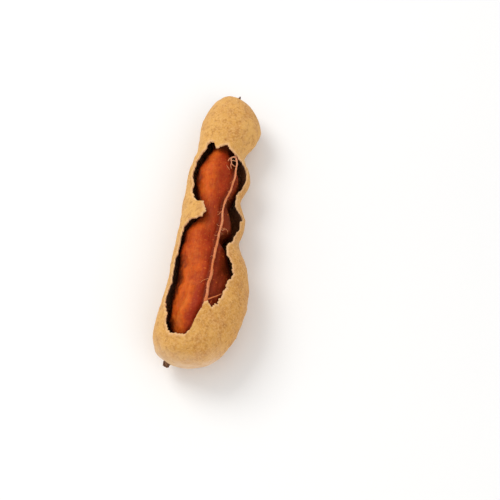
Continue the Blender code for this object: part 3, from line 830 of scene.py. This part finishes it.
# Hairs that lie on the flesh: (radius at the root, places from the vein outwards in mm).
HAIRS = (
    (0.17, ((1.1, 25.2), (0.7, 23.9), (0.7, 22.7), (1.7, 21.9), (2.2, 21.3))),
    (0.13, ((4.2, 17.0), (3.9, 16.8), (3.1, 15.9))),
    (0.13, ((3.6, 12.4), (3.1, 12.5), (2.3, 12.2), (1.8, 11.5))),
    (0.20, ((3.0, 2.8), (2.2, 2.6), (1.5, 1.5), (1.0, 0.5))),
    (0.10, ((2.4, 2.7), (1.5, 2.4), (0.5, 1.7))),
    (0.13, ((3.0, -3.3), (2.1, -3.3), (1.4, -2.8))),
    (0.12, ((3.0, -7.5), (1.8, -7.4), (1.0, -7.1))),
    (0.11, ((2.8, -10.9), (2.2, -11.1))),
    (0.13, ((2.7, -13.2), (1.5, -12.8), (0.8, -12.2))),
    (0.14, ((2.8, -16.3), (1.9, -16.6), (1.3, -17.2))),
    (0.17, ((3.0, -5.1), (3.9, -5.0), (4.6, -4.2), (5.2, -4.1), (5.9, -4.9))),
    (0.14, ((3.1, -4.2), (4.2, -4.1), (5.1, -2.9), (5.9, -1.7))),
    (0.17, ((3.0, -23.2), (1.9, -23.4), (1.4, -23.9), (1.2, -24.3))),
    (0.17, ((3.0, -26.2), (1.6, -26.5), (0.9, -27.0), (0.3, -27.6), (-0.1, -28.5))),
    (0.12, ((3.0, -34.1), (2.4, -34.0), (1.8, -33.8))),
)
HAIR_SIDES = 8
HAIR_STEPS = 22
HAIR_WAVER, HAIR_WAVE = 0.04, 1.5
HAIR_LIFT = 0.3  # height of a hair's middle over the flesh, as a share of its radius
BRIDGE_SEED, HAIR_SEED, SEED_STEP = 50, 80, 3
SINKING = 2.5  # a hair is down on the flesh after one part in this many of its length
FINE_HAIRS, FINE_SEED = 46, 41
FINE_PLACES = (-34.0, 20.0)
FINE_LENGTH = (0.8, 1.7)
FINE_RADIUS = (0.04, 0.07)
FINE_LIFT = 0.04
FINE_SIDES = 6
BEARING, CURL = 0.9, 1.3  # most turn, in radians, from square to the vein and along the hair

PEACH = (0.66, 0.195, 0.058)
ROSE = (0.78, 0.36, 0.19)
RUST = (0.42, 0.10, 0.028)


def tube(path, radius, sides, flutes=0.0):
    """Rings round a path: each point of a ring stands off the path by the radius there, along the
    sideways and upward directions square to the path. Flutes ripple the radius round the ring."""
    ahead = np.gradient(path, axis=0)
    ahead /= np.linalg.norm(ahead, axis=1, keepdims=True)
    sideways = np.cross(ahead, (0.0, 0.0, 1.0))
    sideways /= np.linalg.norm(sideways, axis=1, keepdims=True)
    upward = np.cross(sideways, ahead)
    turn = np.linspace(0.0, 2 * math.pi, sides, endpoint=False)[None, :, None]
    along = np.arange(len(path))[:, None, None]
    ripple = 1 + flutes * (np.sin(3 * turn + along * 0.05) + 0.6 * np.sin(5 * turn - along * 0.031))
    round_it = np.cos(turn) * sideways[:, None] + np.sin(turn) * upward[:, None]
    return path[:, None] + round_it * np.reshape(radius, (-1, 1, 1)) * ripple


def smooth_path(points, count):
    """Even steps along the smooth line through the points."""
    points = np.asarray(points, float)
    length = np.concatenate(((0.0,), np.cumsum(np.linalg.norm(np.diff(points, axis=0), axis=1))))
    places = np.linspace(0.0, length[-1], count)
    return np.stack([smooth_through(length, column, places) for column in points.T], axis=-1)


def main_vein():
    """The string itself, wavering a little, thicker at its knots and rounded off at both ends."""
    path = smooth_path(VEIN_PATH, VEIN_STEPS)
    path[:, 0] += relief(path, SIDEWAYS_WAVER)
    path[:, 2] += relief(path, UPWARD_WAVER)
    share = np.linspace(-1.0, 1.0, len(path))
    y = path[:, 1]
    radius = np.interp(y, *np.transpose(VEIN_RADII)) * (1 + relief(path, SWELLINGS) + bells(y, KNOTS))
    radius *= np.sqrt(np.clip(1 - share**60, 0.0, 1.0))
    return tube(path, radius, VEIN_SIDES, VEIN_FLUTES)


def branch(root_radius, points, seed):
    """A tapering side branch that starts inside the vein and wavers more towards its end. It uses
    three seeds, one for each direction."""
    path = smooth_path(points, HAIR_STEPS)
    share = np.linspace(0.0, 1.0, HAIR_STEPS)
    waver = [HAIR_WAVER * waves(path, HAIR_WAVE, seed + k) for k in range(SEED_STEP)]
    path += np.stack(waver, axis=-1) * share[:, None]
    radius = root_radius * (1 - 0.5 * share) * np.sqrt(np.clip(1 - (2 * share - 1) ** 16, 0.0, 1.0))
    return tube(path, radius, HAIR_SIDES)


def flesh_top(x, y):
    """Height of the smooth flesh over a place, read off its oval section."""
    left, right = (smooth_through(FLESH_EDGES[:, 0], column, y) for column in FLESH_EDGES[:, 1:].T)
    turn = np.arcsin(np.clip((x - (right - left) / 2) / ((right + left) / 2), -0.98, 0.98))
    return flesh_surface(y, turn)[0][..., 2]


def settled(x, y, lift):
    """Points over the places, from the middle of the vein at the first down on to the flesh."""
    share = np.linspace(0.0, 1.0, len(x))
    rest = flesh_top(x, y) + lift
    root = np.interp(y[0], VEIN_PATH[:, 1], VEIN_PATH[:, 2])
    held_up = np.clip(1 - SINKING * share, 0.0, 1.0) ** 2
    return np.stack((x, y, rest + (root - rest[0]) * held_up), axis=-1)


def fine_hairs():
    """Short hairs that leave the vein to either side and curl down on to the flesh."""
    chance = np.random.default_rng(FINE_SEED)
    hairs = []
    for _ in range(FINE_HAIRS):
        root_y = chance.uniform(*FINE_PLACES)
        side = chance.choice((-1.0, -1.0, 1.0))
        bearing = chance.uniform(-BEARING, BEARING)
        bearing = bearing + chance.uniform(-CURL, CURL) * np.linspace(0.0, 1.0, HAIR_STEPS)
        step = chance.uniform(*FINE_LENGTH) / HAIR_STEPS
        x = np.interp(root_y, VEIN_PATH[:, 1], VEIN_PATH[:, 0]) + side * np.cumsum(np.cos(bearing)) * step
        y = root_y + np.cumsum(np.sin(bearing)) * step
        radius = chance.uniform(*FINE_RADIUS) * np.linspace(1.0, 0.4, HAIR_STEPS)
        radius[[0, -1]] = 0.0
        hairs.append(tube(settled(x, y, FINE_LIFT), radius, FINE_SIDES))
    return hairs


def vein_material():
    """Waxy peach string, rosier in places, with rusty pulp left between its fibres."""
    material, tree, shader, place = new_material("vein_string")
    fibres = add(tree, "ShaderNodeGroup", {"Place": place, "Width": 0.16}, node_tree=FIBRES).outputs[0]
    tipward = add(tree, "ShaderNodeSeparateXYZ", {0: place}).outputs["Y"]
    rosy = times(tree, mottle(tree, place, 6.0, 0.4, 0.6), 0.4)
    rosy = plus(tree, rosy, span(tree, tipward, 14.0, 26.0, 0.0, 0.7))
    stains = mottle(tree, place, 1.1, 0.54, 0.7)
    colour = tint(tree, rosy, PEACH, ROSE)
    colour = tint(tree, times(tree, stains, 0.45), colour, RUST)
    colour = tint(tree, times(tree, span(tree, fibres, 0.6, 0.2), 0.25), colour, RUST)
    tree.links.new(colour, shader.inputs["Base Color"])
    tree.links.new(span(tree, fibres, 0.0, 1.0, 0.55, 0.4), shader.inputs["Roughness"])
    raise_surface(tree, shader, fibres, 0.06)
    shader.inputs["Subsurface Weight"].default_value = 0.2
    shader.inputs["Subsurface Radius"].default_value = (1.0, 0.5, 0.3)
    shader.inputs["Subsurface Scale"].default_value = 0.4 * MM
    shader.inputs["Specular IOR Level"].default_value = 0.25
    return material


branches = []
for k, (radius, route) in enumerate(BRIDGES):
    branches.append(branch(radius, route, BRIDGE_SEED + SEED_STEP * k))
for k, (radius, places) in enumerate(HAIRS):
    route = settled(*smooth_path(places, HAIR_STEPS).T, HAIR_LIFT * radius)
    branches.append(branch(radius, route, HAIR_SEED + SEED_STEP * k))
vein_mesh = mesh_of_grids("vein", [main_vein(), *branches, *fine_hairs()])
add_piece("vein", vein_mesh, vein_material(), "vein_strand")

# ---- Stalk stub and tip --------------------------------------------------------------------------
# Where the pod hung from its twig a short woody stub is left, dark and cracked, with a cupped scar.
# At the other end the withered remains of the flower stand up as a small dark point.

STALK_FOOT = (-8.2, 7.0)
STALK_PROFILE = (
    (-0.8, 1.9), (0.0, 1.8), (0.5, 1.5), (1.2, 1.3), (1.7, 1.35), (2.1, 1.1), (1.9, 0.6), (1.5, 0.0),
)  # fmt: skip
TIP_FOOT = (0.3, 12.4)
TIP_PROFILE = ((-0.6, 0.85), (0.0, 0.62), (0.3, 0.45), (0.6, 0.34), (0.9, 0.2), (1.0, 0.0))
NUB_ROWS, NUB_SIDES = 60, 72
FOOT_ROUNDS = 20  # rounds of finding where a nub stands on the blunt end
CRACK_SPACING, GNARL_SIZE = 1.1, 0.8

BARK = (0.13, 0.050, 0.020)
BARK_PALE = (0.40, 0.20, 0.08)


def nub(foot, end, profile, seed, roughness):
    """A turned nub standing square on the pod's blunt end: the profile of (height, radius) carried
    round the outward direction at its foot, roughened and cracked lengthways."""
    turned = np.array(profile)
    length = np.concatenate(((0.0,), np.cumsum(np.linalg.norm(np.diff(turned, axis=0), axis=1))))
    places = np.linspace(0.0, length[-1], NUB_ROWS)
    height, radius = (np.interp(places, length, column) for column in turned.T)
    y = np.full(1, end * (HALF_LENGTH - 2.0))
    for _ in range(FOOT_ROUNDS):
        centre_x, half_width, centre_z, half_height = pod_section(y)
        reach = ((foot[0] - centre_x) / half_width) ** 2
        reach += ((foot[1] + REST_DEPTH - centre_z) / half_height) ** 2
        y = end * HALF_LENGTH * (1 - reach) ** (1 / pod_bluntness(y))
    base = np.array((foot[0], y[0], foot[1]))
    upward = outward(base)
    across = np.cross((0.0, 0.0, 1.0), upward)
    across /= np.linalg.norm(across)
    beside = np.cross(upward, across)
    turn = np.linspace(0.0, 2 * math.pi, NUB_SIDES, endpoint=False)[None, :, None]
    round_it = np.cos(turn) * across + np.sin(turn) * beside
    points = base + upward * height[:, None, None] + round_it * radius[:, None, None]
    cracks = 0.5 * waves(points, GNARL_SIZE, seed + 1)
    cracks -= np.abs(waves(points * (1.0, 0.3, 1.0), CRACK_SPACING, seed))
    return points + round_it * (roughness * cracks * np.minimum(radius, 1.0)[:, None])[..., None]


def bark_material(name, size):
    """Dark bark with paler crust caught in its cracks."""
    material, tree, shader, place = new_material(name)
    crust = mottle(tree, place, size, 0.5, 0.66)
    grain = mottle(tree, place, size * 0.4, 0.4, 0.6)
    colour = tint(tree, times(tree, crust, 0.7), BARK, BARK_PALE)
    tree.links.new(colour, shader.inputs["Base Color"])
    tree.links.new(span(tree, grain, 0.0, 1.0, 0.75, 0.95), shader.inputs["Roughness"])
    raise_surface(tree, shader, grain, 0.1)
    return material


stub_mesh = mesh_of_grids("stalk_scar", [nub(STALK_FOOT, -1, STALK_PROFILE, 61, 0.16)])
add_piece("stalk_scar", stub_mesh, bark_material("stub_bark", 0.9), "stalk_stub")
tip_mesh = mesh_of_grids("withered_tip", [nub(TIP_FOOT, 1, TIP_PROFILE, 71, 0.12)])
add_piece("withered_tip", tip_mesh, bark_material("tip_bark", 0.5), "tip_point")

# ---- Floor, lights and camera --------------------------------------------------------------------
# A plain white sweep under soft daylight from the upper left, seen from above the stalk end.

FLOOR_SIZE = 3.0
FLOOR_LEVEL = -2e-5  # just under the pod
SKY_STRENGTH = 0.74
CAMERA_TARGET = (12.65, -2.65, -0.25)
CAMERA_TURN, CAMERA_RISE = math.radians(9.0), math.radians(66.0)
CAMERA_DISTANCE = 460.0
CAMERA_LENS, CAMERA_SENSOR = 86.0, 36.0


def place_floor():
    half = FLOOR_SIZE / 2
    mesh = bpy.data.meshes.new("floor")
    square = ((-half, -half), (half, -half), (half, half), (-half, half))
    corners = [(x, y, FLOOR_LEVEL) for x, y in square]
    mesh.from_pydata(corners, [], [(0, 1, 2, 3)])
    material, tree, shader, place = new_material("floor_white")
    shade = mottle(tree, place, 400.0, 0.3, 0.7)
    white = tint(tree, shade, (0.86, 0.86, 0.86), (0.89, 0.89, 0.885))
    tree.links.new(white, shader.inputs["Base Color"])
    shader.inputs["Roughness"].default_value = 0.7
    mesh.materials.append(material)
    floor = bpy.data.objects.new("floor", mesh)
    bpy.context.scene.collection.objects.link(floor)


def soft_light(name, place, size, power, colour):
    """A square soft box at a place in metres that faces the pod."""
    light = bpy.data.lights.new(name, "AREA")
    light.size = size
    light.energy = power
    light.color = colour
    lamp = bpy.data.objects.new(name, light)
    lamp.location = place
    lamp.rotation_euler = (-lamp.location).to_track_quat("-Z", "Y").to_euler()
    bpy.context.scene.collection.objects.link(lamp)


def place_camera():
    """A long lens at the distance from the target, turned and raised round it."""
    camera = bpy.data.cameras.new("camera")
    camera.lens = CAMERA_LENS
    camera.sensor_width = CAMERA_SENSOR
    camera.clip_start = 0.01
    holder = bpy.data.objects.new("camera", camera)
    level = CAMERA_DISTANCE * math.cos(CAMERA_RISE)
    height = CAMERA_DISTANCE * math.sin(CAMERA_RISE)
    offset = (level * math.sin(CAMERA_TURN), -level * math.cos(CAMERA_TURN), height)
    holder.location = [(t + o) * MM for t, o in zip(CAMERA_TARGET, offset)]
    holder.rotation_euler = (math.pi / 2 - CAMERA_RISE, 0.0, CAMERA_TURN)
    bpy.context.scene.collection.objects.link(holder)
    bpy.context.scene.camera = holder


place_floor()
soft_light("window_light", (-0.55, 0.35, 0.75), size=0.5, power=4.6, colour=(1.0, 0.985, 0.96))
soft_light("fill_light", (0.6, -0.6, 0.8), size=0.9, power=2.6, colour=(1.0, 0.99, 0.98))
place_camera()

world = bpy.data.worlds.new("studio")
world.use_nodes = True
sky = world.node_tree.nodes["Background"].inputs
sky[0].default_value = (1.0, 1.0, 1.0, 1.0)
sky[1].default_value = SKY_STRENGTH
bpy.context.scene.world = world
bpy.context.scene.view_settings.view_transform = "Standard"
